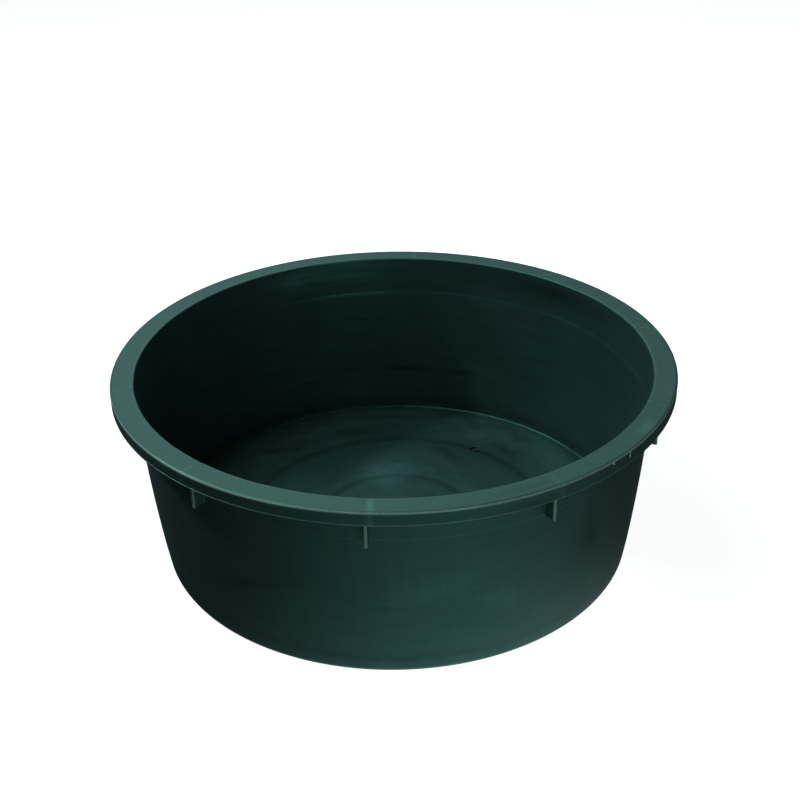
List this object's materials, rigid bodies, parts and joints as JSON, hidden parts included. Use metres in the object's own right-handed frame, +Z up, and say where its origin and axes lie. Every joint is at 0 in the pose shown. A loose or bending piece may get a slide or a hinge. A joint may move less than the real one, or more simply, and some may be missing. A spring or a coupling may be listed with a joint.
{
  "type": "mortar mixing tub",
  "caption": "Round open mortar mixing tub with tapered walls, a flat rim with a downturned skirt, stiffening gussets under the rim and a flat ringed floor.",
  "frame": {"origin": "centre of the base, on the ground plane under the foot ring", "axes": "+Z up along the tub's axis, out of the mouth; a gusset lies on -Y"},
  "size_m": [0.67, 0.67, 0.241],
  "materials": {
    "tub_polyethylene": "satin, injection-moulded, faint swirl and scuffs"
  },
  "bodies": {
    "root": {"floor_centre": "tub_polyethylene", "floor_middle": "tub_polyethylene", "floor_outer": "tub_polyethylene", "foot_ring": "tub_polyethylene", "gusset_01": "tub_polyethylene", "gusset_02": "tub_polyethylene", "gusset_03": "tub_polyethylene", "gusset_04": "tub_polyethylene", "gusset_05": "tub_polyethylene", "gusset_06": "tub_polyethylene", "gusset_07": "tub_polyethylene", "gusset_08": "tub_polyethylene", "gusset_09": "tub_polyethylene", "gusset_10": "tub_polyethylene", "heel_ring": "tub_polyethylene", "rim_flange": "tub_polyethylene", "rim_skirt": "tub_polyethylene", "shoulder_band": "tub_polyethylene", "side_wall": "tub_polyethylene"}
  },
  "joints": []
}
